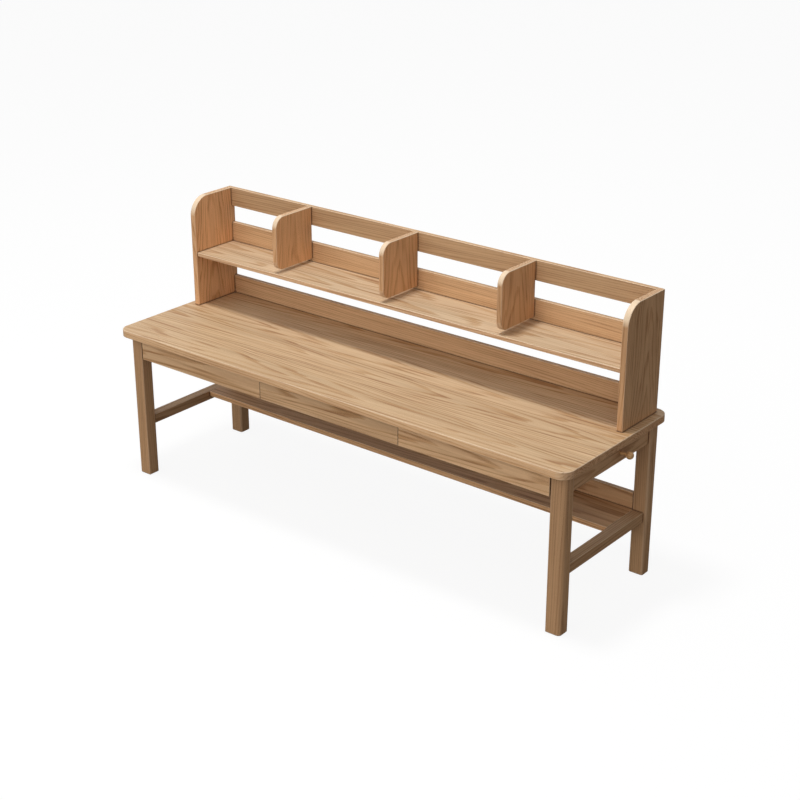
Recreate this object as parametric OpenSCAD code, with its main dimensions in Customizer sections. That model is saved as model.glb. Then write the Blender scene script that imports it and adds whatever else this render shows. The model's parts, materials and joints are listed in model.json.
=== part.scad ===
// A long oak desk with a built-on book hutch.
// X runs along the desk, Y from the front (-) to the back (+), Z up.
// The origin is on the floor, under the middle of the desktop.

/* [Desktop] */
// Length of the desktop
desk_length = 2500; // [2300:10:2800]
// Depth of the desktop from front to back
desk_depth = 770; // [740:5:850]
// Height of the desktop's upper face above the floor
desk_height = 750; // [720:5:800]
// Thickness of the desktop
top_thick = 34; // [25:1:40]
// Plan radius of the desktop's corners
top_corner_r = 55; // [20:5:80]

/* [Underframe] */
// Width of a leg along the desk
leg_wide = 70; // [64:1:80]
// Depth of a leg from front to back
leg_deep = 62; // [58:1:66]
// Radius of a leg's upright edges
leg_edge_r = 10; // [4:1:18]
// Radius of the one upright edge of a leg that lies under the desktop's corner
leg_corner_r = 18; // [4:1:24]
// Overhang of the desktop past the legs at each end
end_overhang = 31; // [20:1:60]
// Overhang of the desktop past the front legs
front_overhang = 48; // [30:1:60]
// Overhang of the desktop past the rear legs
rear_overhang = 24; // [20:1:40]
// Height of the side and rear aprons
apron_high = 96; // [80:1:110]
// Height of the stretchers' and lower shelf's upper face
stretcher_top = 300; // [200:5:340]
// Height of a side stretcher
stretcher_high = 45; // [38:1:50]
// Depth of the lower shelf, in front of the rear legs
lower_shelf_deep = 206; // [120:2:240]
// Height of the board that stands on the lower shelf
back_board_high = 77; // [50:1:120]

/* [Drawers] */
// Distance between the two seams beside the middle drawer front
middle_drawer_wide = 782; // [700:2:820]
// Height of a drawer front
drawer_front_high = 107; // [90:1:115]
// Depth of a drawer box behind its front
drawer_box_deep = 450; // [300:10:480]
// Thickness of a drawer front
drawer_front_thick = 20; // [16:1:22]

/* [Hutch] */
// Height of the hutch above the desktop
hutch_high = 535; // [500:5:600]
// Depth of the hutch from front to back
hutch_deep = 272; // [220:1:290]
// Distance of the hutch's ends from the desktop's ends
hutch_end_inset = 41; // [20:1:80]
// Distance of the hutch's back from the desktop's back edge
hutch_back_inset = 35; // [30:1:40]
// Thickness of the hutch's end panels
panel_thick = 28; // [22:1:32]
// Thickness of the hutch's rails
rail_thick = 22; // [18:1:25]
// Height of the hutch shelf's upper face above the desktop
shelf_rise = 267; // [220:1:290]
// Thickness of the hutch shelf
shelf_thick = 19; // [16:1:25]
// Height of the rail that lies on the desktop
bottom_rail_high = 90; // [70:1:110]
// Height of the rail that stands on the hutch shelf
middle_rail_high = 95; // [70:1:100]
// Height of the rail along the hutch's top
top_rail_high = 90; // [70:1:100]

/* [Dividers] */
// Thickness of a divider
divider_thick = 26; // [18:1:28]
// Middle divider's distance from the middle of the desk
divider_middle_x = -42; // [-60:1:60]
// Distance from one divider to the next
divider_pitch = 631; // [580:1:650]
// Gap between a divider and the shelf below it
divider_gap = 15; // [2:1:16]

/* [Hidden] */
$fn = 96;

// Small clearances and joint sizes
fit = 0.1;           // gap around a tenon in its mortise
eps = 0.01;          // overshoot of a cut past a face
tenon_long = 22;     // length of every frame tenon
tenon_thick = 10;    // thickness of an apron's tenon
tenon_shoulder = 8;  // step from a board's edge to its tenon's edge
thin_shoulder = 6;   // the same on the thin front rail
glide_high = 3;      // thickness of a foot glide
glide_r = 20;        // radius of a foot glide
nail_long = 18;      // length of a glide's nail in the leg

// Main faces of the desk
x_end = desk_length / 2;
y_front = -desk_depth / 2;
y_back = desk_depth / 2;
z_under = desk_height - top_thick;
leg_x1 = x_end - end_overhang;
leg_x0 = leg_x1 - leg_wide;
front_leg_y0 = y_front + front_overhang;
front_leg_y1 = front_leg_y0 + leg_deep;
rear_leg_y1 = y_back - rear_overhang;
rear_leg_y0 = rear_leg_y1 - leg_deep;

// Aprons and stretchers
apron_thick = 24;
apron_inset = 14;               // from a leg's outer face to the side apron's
board_inset = 3;                // from the rear legs' front to the boards between them
apron_x1 = leg_x1 - apron_inset;
apron_x0 = apron_x1 - apron_thick;
apron_z0 = z_under - apron_high;
rear_apron_thick = 20;
rear_apron_y0 = rear_leg_y0 + board_inset;
rear_apron_y1 = rear_apron_y0 + rear_apron_thick;
stretcher_inset = 6;            // from a leg's inner face to the stretcher's
stretcher_x0 = leg_x0 + stretcher_inset;
stretcher_x1 = apron_x1;
stretcher_z0 = stretcher_top - stretcher_high;
stretcher_tenon = 20;           // thickness of a stretcher's tenon

// Lower shelf and the board on it
lower_shelf_thick = 25;
lower_tongue_thick = 8;
lower_tongue_long = 10;
lower_tongue_step = 10;         // from the lower shelf's edges to its tongue's
lower_shelf_y0 = rear_leg_y0 - lower_shelf_deep;
back_board_thick = 20;
back_board_y0 = rear_leg_y0 + board_inset;
back_board_y1 = back_board_y0 + back_board_thick;

// Front rail
front_rail_thick = 22;
front_rail_deep = 60;
front_rail_tenon_long = 18;
front_rail_y0 = front_leg_y0 + drawer_front_thick + 1;
front_rail_y1 = front_rail_y0 + front_rail_deep;
front_rail_z0 = z_under - front_rail_thick;

// Drawer fronts, boxes and slides
leg_gap = 5;                    // gap between a drawer front and a leg
seam_gap = 2;                   // gap between two drawer fronts
top_gap = 3;                    // gap between a drawer front and the desktop
drawer_z0 = z_under - top_gap - drawer_front_high;
box_rise = 12;                  // from a front's lower edge to its box's
box_side_thick = 12;
box_z0 = drawer_z0 + box_rise;
box_z1 = front_rail_z0 - 6;
box_y0 = front_leg_y0 + drawer_front_thick;
box_y1 = box_y0 + drawer_box_deep;
box_bottom_thick = 6;
box_bottom_z0 = box_z0 + 6;
groove_deep = 5;
slide_room = 12.5;              // gap between a bearer and a drawer side
slide_high = 36;
slide_deep = 9;                 // depth of a slide's channel
slide_wall = 1.2;
slide_play = 2;                 // gap between the two channels of a slide
slide_z = (box_z0 + box_z1) / 2;
slide_short = 4;                // a slide ends this far from its box's ends

// Bearers between the drawers
bearer_thick = 20;
bearer_z0 = box_z0 - 2;
bearer_mid_x = middle_drawer_wide / 2;

// Hook pegs on the side aprons
peg_y = 79;
peg_z = z_under - 54;
peg_tenon_r = 8;
peg_tenon_long = 20;
peg_neck_r = 7;
peg_ball_r = 17;
peg_ball_x = apron_x1 + 45;     // centre of the ball
peg_flat_x = peg_ball_x + 14;   // the ball's end is turned flat here

// Hutch
hutch_x1 = x_end - hutch_end_inset;
hutch_x0 = hutch_x1 - panel_thick;
hutch_y1 = y_back - hutch_back_inset;
hutch_y0 = hutch_y1 - hutch_deep;
hutch_z1 = desk_height + hutch_high;
panel_corner_r = 90;
rail_y0 = hutch_y1 - rail_thick;
shelf_y0 = hutch_y0 + 5;
shelf_z1 = desk_height + shelf_rise;
shelf_z0 = shelf_z1 - shelf_thick;
shelf_dado = 6;                 // depth of the panels' slots for the shelf
shelf_end_step = 4;             // from the shelf's faces to its end's faces
shelf_end_inset = 10;           // from the shelf's edges to its end's edges
top_rail_z0 = hutch_z1 - top_rail_high;
middle_rail_z1 = shelf_z1 + middle_rail_high;
bottom_rail_z1 = desk_height + bottom_rail_high;
rail_mids = [
    desk_height + bottom_rail_high / 2,
    shelf_z1 + middle_rail_high / 2,
    hutch_z1 - top_rail_high / 2
];

// Dowels, screws and the holes that hold them
dowel_r = 4;
dowel_long = 40;
dowel_in_panel = 14;
dowel_spread = 25;              // a dowel's distance from its rail's middle height
hole_gap = 0.05;                // radial clearance of a dowel or screw
hutch_screw_r = 3;
hutch_screw_in = 45;            // length of a screw in the hutch's bottom rail
hutch_head_r = 6.5;
hutch_head_high = 3.5;
hutch_screw_xs = [for (share = [0.17, 0.5, 0.83]) round(share * hutch_x0)];
hutch_screw_y = hutch_y1 - rail_thick / 2;
small_screw_r = 2;
small_screw_long = 14;
small_head_r = 4;
small_head_high = 1.6;

// Angle brackets: two on each side apron and four on the rear apron
bracket_leg = 30;
bracket_wall = 2;
bracket_reach = bracket_leg / 2;
bracket_hole_gap = 0.2;
bracket_from_leg = 110;
side_bracket_ys = [front_leg_y1 + bracket_from_leg, rear_leg_y0 - bracket_from_leg];
rear_bracket_xs = [for (share = [0.5, 0.83]) leg_x0 * share];
front_screw_xs = [for (share = [0.17, 0.83]) leg_x0 * share];
front_screw_y = (front_rail_y0 + front_rail_y1) / 2;

// Dividers
divider_front_y = hutch_y0 + 6;
divider_top_r = 55;
divider_foot_r = 42;
divider_z0 = shelf_z1 + divider_gap;
divider_xs = [divider_middle_x - divider_pitch, divider_middle_x, divider_middle_x + divider_pitch];
divider_screw_r = 2.5;
divider_screw_in = 38;          // length of a screw inside a divider
divider_screw_spread = 22;      // a screw's distance from its rail's middle height
divider_head_r = 5;
divider_head_high = 2.5;

// Colours
oak_top = [0.82, 0.69, 0.51];
oak = [0.72, 0.56, 0.38];
oak_dark = [0.62, 0.46, 0.30];
plywood = [0.86, 0.76, 0.60];
steel = [0.72, 0.73, 0.75];
felt = [0.35, 0.33, 0.31];

// ---------- Shared shapes ----------

// A box between two corners
module block(low, high) {
    translate(low) cube(high - low);
}

// A rectangle with all four corners rounded, centred on the origin
module rounded_rectangle(wide, deep, r) {
    square([wide - 2 * r, deep], center = true);
    square([wide, deep - 2 * r], center = true);
    for (sx = [-1, 1], sy = [-1, 1])
        translate([sx * (wide / 2 - r), sy * (deep / 2 - r)]) circle(r);
}

// What is left over outside a rounded corner whose sharp tip is at the origin
module corner_waste(r) {
    difference() {
        translate([-eps, -eps]) square(r + eps);
        translate([r, r]) circle(r);
    }
}

// Extrudes a Y-Z outline along +X, starting at x
module extrude_along_x(x, thick) {
    translate([x, 0, 0]) rotate([90, 0, 90]) linear_extrude(thick) children();
}

// Draws a right-hand piece as it is, or its mirror image on the left
module on_side(side) {
    if (side > 0) children();
    else mirror([1, 0, 0]) children();
}

// Draws a piece at both ends of the desk
module both_ends() {
    children();
    mirror([1, 0, 0]) children();
}

// A round pin or hole along X
module rod_x(at, r, long) {
    translate(at) rotate([0, 90, 0]) cylinder(h = long, r = r);
}

// A round pin or hole along Y
module rod_y(at, r, long) {
    translate(at) rotate([-90, 0, 0]) cylinder(h = long, r = r);
}

// ---------- Tenons of the right-hand end; grown by g they cut the mortises ----------

// Side apron's tenon; dir is -1 into the front leg, 1 into the rear leg
module side_apron_tenon(dir, g = 0) {
    face = dir < 0 ? front_leg_y1 : rear_leg_y0;
    low = dir < 0 ? face - tenon_long - g : face - eps * sign(g);
    high = dir < 0 ? face + eps * sign(g) : face + tenon_long + g;
    mid = (apron_x0 + apron_x1) / 2;
    block([mid - tenon_thick / 2 - g, low, apron_z0 + tenon_shoulder - g],
          [mid + tenon_thick / 2 + g, high, z_under - tenon_shoulder + g]);
}

// Side stretcher's tenon, in the same two directions
module stretcher_end_tenon(dir, g = 0) {
    face = dir < 0 ? front_leg_y1 : rear_leg_y0;
    low = dir < 0 ? face - tenon_long - g : face - eps * sign(g);
    high = dir < 0 ? face + eps * sign(g) : face + tenon_long + g;
    mid = (stretcher_x0 + stretcher_x1) / 2;
    block([mid - stretcher_tenon / 2 - g, low, stretcher_z0 + tenon_shoulder - g],
          [mid + stretcher_tenon / 2 + g, high, stretcher_top - tenon_shoulder + g]);
}

// Rear apron's tenon into the rear leg
module rear_apron_tenon(g = 0) {
    mid = (rear_apron_y0 + rear_apron_y1) / 2;
    block([leg_x0 - eps * sign(g), mid - tenon_thick / 2 - g, apron_z0 + tenon_shoulder - g],
          [leg_x0 + tenon_long + g, mid + tenon_thick / 2 + g, z_under - tenon_shoulder + g]);
}

// Lower back board's tenon into the rear leg
module back_board_tenon(g = 0) {
    mid = (back_board_y0 + back_board_y1) / 2;
    z1 = stretcher_top + back_board_high;
    block([leg_x0 - eps * sign(g), mid - tenon_thick / 2 - g, stretcher_top + tenon_shoulder - g],
          [leg_x0 + tenon_long + g, mid + tenon_thick / 2 + g, z1 - tenon_shoulder + g]);
}

// Front rail's tenon into the front leg
module front_rail_tenon(g = 0) {
    x1 = leg_x0 + front_rail_tenon_long;
    block([leg_x0 - eps * sign(g), front_rail_y0 + thin_shoulder - g, front_rail_z0 + thin_shoulder - g],
          [x1 + g, front_leg_y1 - tenon_shoulder + g, z_under - thin_shoulder + g]);
}

// Tongue on the end of the lower shelf
module lower_shelf_tongue(g = 0) {
    z_mid = stretcher_top - lower_shelf_thick / 2;
    y0 = lower_shelf_y0 + lower_tongue_step;
    y1 = rear_leg_y0 - lower_tongue_step;
    block([stretcher_x0 - eps * sign(g), y0 - g, z_mid - lower_tongue_thick / 2 - g],
          [stretcher_x0 + lower_tongue_long + g, y1 + g, z_mid + lower_tongue_thick / 2 + g]);
}

// ---------- Legs and feet ----------

// A leg's rounded post, in place at the right-hand end, its rounder edge in front (-1) or behind (1)
module leg_post(y0, end) {
    translate([(leg_x0 + leg_x1) / 2, y0 + leg_deep / 2, glide_high])
        linear_extrude(z_under - glide_high)
            difference() {
                rounded_rectangle(leg_wide, leg_deep, leg_edge_r);
                translate([leg_wide / 2, end * leg_deep / 2])
                    rotate(end < 0 ? 90 : 180)
                        corner_waste(leg_corner_r);
            }
}

// The nail of a foot glide
module glide_nail(y0, g = 0) {
    translate([(leg_x0 + leg_x1) / 2, y0 + leg_deep / 2, glide_high - eps])
        cylinder(h = nail_long + g + eps, r = small_screw_r + g);
}

module front_leg(side) {
    on_side(side) color(oak) difference() {
        leg_post(front_leg_y0, -1);
        side_apron_tenon(-1, fit);
        stretcher_end_tenon(-1, fit);
        front_rail_tenon(fit);
        glide_nail(front_leg_y0, hole_gap);
    }
}

module rear_leg(side) {
    on_side(side) color(oak_dark) difference() {
        leg_post(rear_leg_y0, 1);
        side_apron_tenon(1, fit);
        stretcher_end_tenon(1, fit);
        rear_apron_tenon(fit);
        back_board_tenon(fit);
        glide_nail(rear_leg_y0, hole_gap);
    }
}

module foot_glides() {
    color(felt) both_ends() for (y0 = [front_leg_y0, rear_leg_y0]) {
        translate([(leg_x0 + leg_x1) / 2, y0 + leg_deep / 2, 0]) cylinder(h = glide_high, r = glide_r);
        glide_nail(y0);
    }
}

// ---------- Underframe ----------

module side_apron(side) {
    on_side(side) color(oak_dark) {
        difference() {
            block([apron_x0, front_leg_y1, apron_z0], [apron_x1, rear_leg_y0, z_under]);
            rod_x([apron_x1 - peg_tenon_long - 1, peg_y, peg_z],
                  peg_tenon_r + hole_gap, peg_tenon_long + 2);
            side_bracket_holes();
        }
        side_apron_tenon(-1);
        side_apron_tenon(1);
    }
}

module hook_peg(side) {
    on_side(side) color(oak_top) {
        rod_x([apron_x1 - peg_tenon_long, peg_y, peg_z], peg_tenon_r, peg_tenon_long);
        rod_x([apron_x1, peg_y, peg_z], peg_neck_r, peg_ball_x - apron_x1);
        difference() {
            translate([peg_ball_x, peg_y, peg_z]) sphere(peg_ball_r);
            block([peg_flat_x, peg_y - peg_ball_r, peg_z - peg_ball_r],
                  [peg_flat_x + peg_ball_r, peg_y + peg_ball_r, peg_z + peg_ball_r]);
        }
    }
}

module rear_apron() {
    color(oak_dark) {
        difference() {
            block([-leg_x0, rear_apron_y0, apron_z0], [leg_x0, rear_apron_y1, z_under]);
            rear_bracket_holes();
        }
        both_ends() rear_apron_tenon();
    }
}

module front_rail() {
    color(oak_dark) {
        difference() {
            block([-leg_x0, front_rail_y0, front_rail_z0], [leg_x0, front_rail_y1, z_under]);
            front_rail_screw_holes();
        }
        both_ends() front_rail_tenon();
    }
}

// A bearer that carries drawer slides, notched over the front rail
module drawer_bearer(x_mid) {
    color(oak_dark) difference() {
        block([x_mid - bearer_thick / 2, front_rail_y0, bearer_z0],
              [x_mid + bearer_thick / 2, rear_apron_y0, z_under]);
        block([x_mid - bearer_thick, front_rail_y0 - eps, front_rail_z0],
              [x_mid + bearer_thick, front_rail_y1, z_under + eps]);
    }
}

module side_stretcher(side) {
    on_side(side) color(oak_dark) difference() {
        union() {
            block([stretcher_x0, front_leg_y1, stretcher_z0], [stretcher_x1, rear_leg_y0, stretcher_top]);
            stretcher_end_tenon(-1);
            stretcher_end_tenon(1);
        }
        lower_shelf_tongue(fit);
    }
}

module lower_shelf() {
    z0 = stretcher_top - lower_shelf_thick;
    color(oak_dark) {
        block([-stretcher_x0, lower_shelf_y0, z0], [stretcher_x0, rear_leg_y0, stretcher_top]);
        block([-leg_x0, rear_leg_y0 - eps, z0], [leg_x0, back_board_y1, stretcher_top]);
        both_ends() lower_shelf_tongue();
    }
}

module lower_back_board() {
    color(oak_dark) {
        block([-leg_x0, back_board_y0, stretcher_top],
              [leg_x0, back_board_y1, stretcher_top + back_board_high]);
        both_ends() back_board_tenon();
    }
}

// ---------- Desktop and its fixings ----------

module desktop() {
    color(oak_top) difference() {
        translate([0, 0, z_under]) linear_extrude(top_thick)
            rounded_rectangle(desk_length, desk_depth, top_corner_r);
        hutch_screw_holes(z_under - eps, top_thick + 2 * eps);
        desktop_screw_holes();
    }
}

// A bracket whose upright face lies on the plane x = 0 and reaches towards -x
module angle_bracket() {
    hole_r = small_screw_r + bracket_hole_gap;
    difference() {
        union() {
            block([-bracket_wall, -bracket_reach, -bracket_leg], [0, bracket_reach, 0]);
            block([-bracket_leg, -bracket_reach, -bracket_wall], [0, bracket_reach, 0]);
        }
        rod_x([-bracket_wall - 1, 0, -bracket_reach - bracket_wall], hole_r, bracket_wall + 2);
        translate([-bracket_reach - bracket_wall, 0, -bracket_wall - 1])
            cylinder(h = bracket_wall + 2, r = hole_r);
    }
}

// The two screws of a bracket, or with g above 0 the holes that hold them
module bracket_screw_pair(g = 0) {
    off = -bracket_reach - bracket_wall;
    rod_x([-bracket_wall, 0, off], small_screw_r + g, small_screw_long + g);
    translate([off, 0, -bracket_wall]) cylinder(h = small_screw_long + g, r = small_screw_r + g);
    if (g == 0) {
        rod_x([-bracket_wall - small_head_high, 0, off], small_head_r, small_head_high);
        translate([off, 0, -bracket_wall - small_head_high])
            cylinder(h = small_head_high, r = small_head_r);
    }
}

// Places children at every bracket
module at_brackets() {
    both_ends() {
        for (y = side_bracket_ys) translate([apron_x0, y, z_under]) children();
        for (x = rear_bracket_xs) translate([x, rear_apron_y0, z_under]) rotate([0, 0, 90]) children();
    }
}

module desktop_brackets() {
    color(steel) at_brackets() angle_bracket();
}

// The screws up through the front rail into the desktop
module front_rail_screws(g = 0) {
    both_ends() for (x = front_screw_xs) translate([x, front_screw_y, front_rail_z0]) {
        cylinder(h = front_rail_thick + small_screw_long + g, r = small_screw_r + g);
        if (g == 0) translate([0, 0, -small_head_high]) cylinder(h = small_head_high, r = small_head_r);
    }
}

module bracket_screws() {
    color(steel) {
        at_brackets() bracket_screw_pair();
        front_rail_screws();
    }
}

module side_bracket_holes() {
    for (y = side_bracket_ys) translate([apron_x0, y, z_under]) bracket_screw_pair(hole_gap);
}

module rear_bracket_holes() {
    both_ends() for (x = rear_bracket_xs)
        translate([x, rear_apron_y0, z_under]) rotate([0, 0, 90]) bracket_screw_pair(hole_gap);
}

module front_rail_screw_holes() {
    translate([0, 0, -eps]) front_rail_screws(hole_gap);
}

module desktop_screw_holes() {
    at_brackets() bracket_screw_pair(hole_gap);
    front_rail_screws(hole_gap);
}

// ---------- Drawers ----------
// A drawer's place is the pair of bearer faces it runs between

outer_bearer_x = leg_x0 - bearer_thick / 2;
bay_faces = [
    [-leg_x0 + bearer_thick, -bearer_mid_x - bearer_thick / 2],
    [-bearer_mid_x + bearer_thick / 2, bearer_mid_x - bearer_thick / 2],
    [bearer_mid_x + bearer_thick / 2, leg_x0 - bearer_thick]
];
front_edges = [
    [-leg_x0 + leg_gap, -bearer_mid_x - seam_gap / 2],
    [-bearer_mid_x + seam_gap / 2, bearer_mid_x - seam_gap / 2],
    [bearer_mid_x + seam_gap / 2, leg_x0 - leg_gap]
];

function box_left(i) = bay_faces[i][0] + slide_room;
function box_right(i) = bay_faces[i][1] - slide_room;

// The bottom panel; grown by g it cuts its own groove
module bottom_panel(i, g = 0) {
    block([box_left(i) + box_side_thick - groove_deep - g, box_y0 - groove_deep - g, box_bottom_z0 - g],
          [box_right(i) - box_side_thick + groove_deep + g,
           box_y1 - box_side_thick + groove_deep + g,
           box_bottom_z0 + box_bottom_thick + g]);
}

module drawer_front(i) {
    color(oak) difference() {
        block([front_edges[i][0], front_leg_y0, drawer_z0],
              [front_edges[i][1], box_y0, drawer_z0 + drawer_front_high]);
        bottom_panel(i, fit);
    }
}

module drawer_side(i, left) {
    x0 = left ? box_left(i) : box_right(i) - box_side_thick;
    color(plywood) difference() {
        block([x0, box_y0, box_z0], [x0 + box_side_thick, box_y1, box_z1]);
        bottom_panel(i, fit);
    }
}

module drawer_back(i) {
    color(plywood) difference() {
        block([box_left(i) + box_side_thick, box_y1 - box_side_thick, box_z0],
              [box_right(i) - box_side_thick, box_y1, box_z1]);
        bottom_panel(i, fit);
    }
}

module drawer_bottom(i) {
    color(plywood) bottom_panel(i);
}

// Cross-section of a slide rail, open towards +x, its web on x = 0
module channel_outline(wide, high) {
    difference() {
        translate([0, -high / 2]) square([wide, high]);
        translate([slide_wall, -high / 2 + slide_wall]) square([wide, high - 2 * slide_wall]);
    }
}

// A slide rail of the given height along the depth of a drawer box
module slide_rail(x, facing, high) {
    translate([x, box_y1 - slide_short, slide_z]) rotate([90, 0, 0])
        linear_extrude(drawer_box_deep - 2 * slide_short)
        mirror([facing < 0 ? 1 : 0, 0]) channel_outline(slide_deep, high);
}

// The rails screwed to the bearers
module drawer_rails_fixed() {
    color(steel) for (bay = bay_faces) {
        slide_rail(bay[0], 1, slide_high);
        slide_rail(bay[1], -1, slide_high);
    }
}

// The rails screwed to a drawer, running inside the fixed ones
module drawer_rails(i) {
    inner_high = slide_high - 2 * slide_wall - 2 * slide_play;
    color(steel) {
        slide_rail(box_left(i), -1, inner_high);
        slide_rail(box_right(i), 1, inner_high);
    }
}

// ---------- Hutch ----------

// Outline of an end panel in the Y-Z plane
module panel_outline() {
    difference() {
        translate([hutch_y0, desk_height]) square([hutch_deep, hutch_high]);
        translate([hutch_y0, hutch_z1]) mirror([0, 1]) corner_waste(panel_corner_r);
    }
}

// The shelf's end in a panel's slot; grown by g it cuts the slot
module shelf_end(g = 0) {
    block([hutch_x0 - eps * sign(g), shelf_y0 + shelf_end_inset - g, shelf_z0 + shelf_end_step - g],
          [hutch_x0 + shelf_dado + g, hutch_y1 - shelf_end_inset + g, shelf_z1 - shelf_end_step + g]);
}

// The dowels of the right-hand end; grown by g they cut their holes
module end_dowels(g = 0) {
    for (z = rail_mids, s = [-1, 1])
        rod_x([hutch_x0 + dowel_in_panel - dowel_long - g, hutch_y1 - rail_thick / 2, z + s * dowel_spread],
              dowel_r + g, dowel_long + 2 * g);
}

// Holes for the screws that come up behind the rear apron into the bottom rail
module hutch_screw_holes(z0, long) {
    both_ends() for (x = hutch_screw_xs)
        translate([x, hutch_screw_y, z0]) cylinder(h = long, r = hutch_screw_r + hole_gap);
}

module hutch_side(side) {
    on_side(side) color(oak) difference() {
        extrude_along_x(hutch_x0, panel_thick) panel_outline();
        shelf_end(fit);
        end_dowels(hole_gap);
    }
}

module hutch_shelf() {
    color(oak_top) {
        block([-hutch_x0, shelf_y0, shelf_z0], [hutch_x0, hutch_y1, shelf_z1]);
        both_ends() shelf_end();
    }
}

// A rail between the end panels, drilled for its dowels, the screws from below and the dividers' screws
module hutch_rail(z0, z1) {
    color(oak) difference() {
        block([-hutch_x0, rail_y0, z0], [hutch_x0, hutch_y1, z1]);
        both_ends() end_dowels(hole_gap);
        hutch_screw_holes(desk_height - eps, hutch_screw_in + 1);
        for (x = divider_xs) translate([0, eps, 0]) divider_screw_shanks(x, hole_gap);
    }
}

module hutch_dowels() {
    color(plywood) both_ends() end_dowels();
}

module hutch_screws() {
    color(steel) both_ends() for (x = hutch_screw_xs) translate([x, hutch_screw_y, 0]) {
        translate([0, 0, z_under]) cylinder(h = top_thick + hutch_screw_in, r = hutch_screw_r);
        translate([0, 0, z_under - hutch_head_high]) cylinder(h = hutch_head_high, r = hutch_head_r);
    }
}

// ---------- Dividers, screwed to the two upper rails from behind ----------

// Outline of a divider in the Y-Z plane
module divider_outline() {
    difference() {
        translate([divider_front_y, divider_z0]) square([rail_y0 - divider_front_y, hutch_z1 - divider_z0]);
        translate([divider_front_y, hutch_z1]) mirror([0, 1]) corner_waste(divider_top_r);
        translate([divider_front_y, divider_z0]) corner_waste(divider_foot_r);
    }
}

// The four screw shanks of one divider; grown by g they cut the holes
module divider_screw_shanks(x, g = 0) {
    for (z = [rail_mids[1], rail_mids[2]], s = [-1, 1])
        rod_y([x, rail_y0 - divider_screw_in - g, z + s * divider_screw_spread],
              divider_screw_r + g, divider_screw_in + rail_thick + g);
}

module divider(i) {
    x = divider_xs[i];
    color(oak) difference() {
        extrude_along_x(x - divider_thick / 2, divider_thick) divider_outline();
        divider_screw_shanks(x, hole_gap);
    }
}

module divider_screws() {
    color(steel) for (x = divider_xs) {
        divider_screw_shanks(x);
        for (z = [rail_mids[1], rail_mids[2]], s = [-1, 1])
            rod_y([x, hutch_y1, z + s * divider_screw_spread], divider_head_r, divider_head_high);
    }
}

desktop();
front_leg(-1);  // leg_front_left
front_leg(1);  // leg_front_right
rear_leg(-1);  // leg_rear_left
rear_leg(1);  // leg_rear_right
side_apron(-1);  // side_apron_left
side_apron(1);  // side_apron_right
rear_apron();
front_rail();
drawer_bearer(-outer_bearer_x);  // drawer_bearer_left
drawer_bearer(-bearer_mid_x);  // drawer_bearer_mid_left
drawer_bearer(bearer_mid_x);  // drawer_bearer_mid_right
drawer_bearer(outer_bearer_x);  // drawer_bearer_right
side_stretcher(-1);  // side_stretcher_left
side_stretcher(1);  // side_stretcher_right
lower_shelf();
lower_back_board();
hook_peg(-1);  // hook_peg_left
hook_peg(1);  // hook_peg_right
foot_glides();
desktop_brackets();
bracket_screws();
drawer_rails_fixed();
hutch_side(-1);  // hutch_side_left
hutch_side(1);  // hutch_side_right
hutch_shelf();
hutch_rail(top_rail_z0, hutch_z1);  // hutch_top_rail
hutch_rail(shelf_z1, middle_rail_z1);  // hutch_middle_rail
hutch_rail(desk_height, bottom_rail_z1);  // hutch_bottom_rail
hutch_dowels();
hutch_screws();
drawer_front(0);  // drawer_left_front
drawer_side(0, true);  // drawer_left_side_left
drawer_side(0, false);  // drawer_left_side_right
drawer_back(0);  // drawer_left_back
drawer_bottom(0);  // drawer_left_bottom
drawer_rails(0);  // drawer_left_rails
drawer_front(1);  // drawer_middle_front
drawer_side(1, true);  // drawer_middle_side_left
drawer_side(1, false);  // drawer_middle_side_right
drawer_back(1);  // drawer_middle_back
drawer_bottom(1);  // drawer_middle_bottom
drawer_rails(1);  // drawer_middle_rails
drawer_front(2);  // drawer_right_front
drawer_side(2, true);  // drawer_right_side_left
drawer_side(2, false);  // drawer_right_side_right
drawer_back(2);  // drawer_right_back
drawer_bottom(2);  // drawer_right_bottom
drawer_rails(2);  // drawer_right_rails
divider(0);  // divider_left
divider(1);  // divider_middle
divider(2);  // divider_right
divider_screws();
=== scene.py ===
import json
import math
import random

import bmesh
import bpy
from mathutils import Matrix, Vector

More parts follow.
